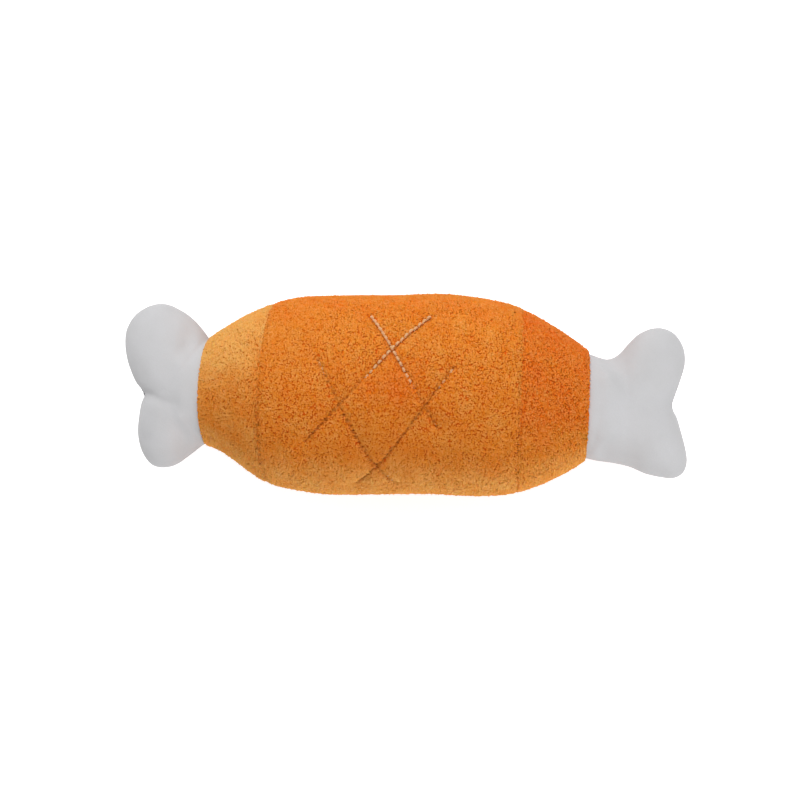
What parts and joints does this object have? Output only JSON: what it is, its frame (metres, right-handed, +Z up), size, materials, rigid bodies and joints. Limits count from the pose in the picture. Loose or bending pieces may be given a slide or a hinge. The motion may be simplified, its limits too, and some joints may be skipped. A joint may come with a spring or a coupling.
{
  "type": "squeaky dog toy",
  "caption": "Stuffed plush dog toy: an orange barrel with scored stitch lines, a white bone knob sewn into each end and a squeaker inside.",
  "frame": {"origin": "on the floor, under the middle of the toy's box, with the toy lying on its back", "axes": "+X along the toy towards the longer bone knob, +Y towards the scored front's upper edge, +Z up through the scored front"},
  "size_m": [0.2118, 0.0758, 0.0761],
  "materials": {
    "plush": "short orange plush pile",
    "fleece": "smooth white fleece",
    "score_thread": "silvery twisted thread with a slight sheen",
    "seam_thread": "matt orange-brown sewing thread",
    "white_thread": "matt white sewing thread",
    "filling": "loose white polyester fibre",
    "capsule": "soft blow-moulded plastic",
    "whistle": "hard moulded plastic",
    "reed_film": "thin plastic film"
  },
  "bodies": {
    "toy_body": {"middle_sleeve": "plush", "left_end_panel": "plush", "right_end_panel": "plush", "left_body_seam_thread": "seam_thread", "right_body_seam_thread": "seam_thread", "left_neck_seam_thread": "seam_thread", "right_neck_seam_thread": "seam_thread", "closing_seam_thread": "seam_thread", "left_end_filling": "filling", "right_end_filling": "filling", "rear_filling": "filling", "squeaker_lower_shell": "capsule", "squeaker_folded_wall": "capsule", "whistle_tube": "whistle", "reed_block": "whistle", "reed_wedge": "whistle"},
    "crown": {"front_filling": "filling", "falling_score_thread_1": "score_thread", "falling_score_thread_2": "score_thread", "rising_score_thread_1": "score_thread", "rising_score_thread_2": "score_thread"},
    "squeaker_top": {"squeaker_upper_shell": "capsule"},
    "reed_strip": {"reed": "reed_film"},
    "left_neck": {"left_neck_wad": "filling"},
    "left_bone": {"left_bone_front": "fleece", "left_bone_back": "fleece", "left_bone_seam_thread": "white_thread", "left_bone_filling": "filling"},
    "right_neck": {"right_neck_wad": "filling"},
    "right_bone": {"right_bone_front": "fleece", "right_bone_back": "fleece", "right_bone_seam_thread": "white_thread", "right_bone_filling": "filling"}
  },
  "joints": [
    {"name": "squeeze", "type": "slide", "parent": "toy_body", "child": "crown", "axis": [0, 0, -1], "range_m": [0, 0.016], "stiffness_N_per_m": 250, "deforming": ["middle_sleeve", "front_filling"]},
    {"name": "squeaker_press", "type": "slide", "parent": "toy_body", "child": "squeaker_top", "axis": [0, 0, -1], "range_m": [0, 0.008], "stiffness_N_per_m": 60, "deforming": ["squeaker_folded_wall"]},
    {"name": "reed_flutter", "type": "hinge", "parent": "toy_body", "child": "reed_strip", "pos_m": [-0.00254, 0, 0.02915], "axis": [-1, 0, 0], "range_deg": [0, 8], "stiffness_Nm_per_rad": 0.0005},
    {"name": "left_bone_wag", "type": "hinge", "parent": "toy_body", "child": "left_neck", "pos_m": [-0.07334, 0, 0.0374], "axis": [0, 0, 1], "range_deg": [-8, 8], "stiffness_Nm_per_rad": 0.5},
    {"name": "left_bone_fold", "type": "hinge", "parent": "left_neck", "child": "left_bone", "pos_m": [-0.07334, 0, 0.0374], "axis": [0, 1, 0], "range_deg": [-25, 25], "stiffness_Nm_per_rad": 0.4},
    {"name": "right_bone_wag", "type": "hinge", "parent": "toy_body", "child": "right_neck", "pos_m": [0.06825, 0, 0.0374], "axis": [0, 0, 1], "range_deg": [-8, 8], "stiffness_Nm_per_rad": 0.5},
    {"name": "right_bone_fold", "type": "hinge", "parent": "right_neck", "child": "right_bone", "pos_m": [0.06825, 0, 0.0374], "axis": [0, -1, 0], "range_deg": [-25, 25], "stiffness_Nm_per_rad": 0.4}
  ],
  "couplings": [
    {"joint": "squeaker_press", "follows": "squeeze", "ratio": 0.5}
  ]
}
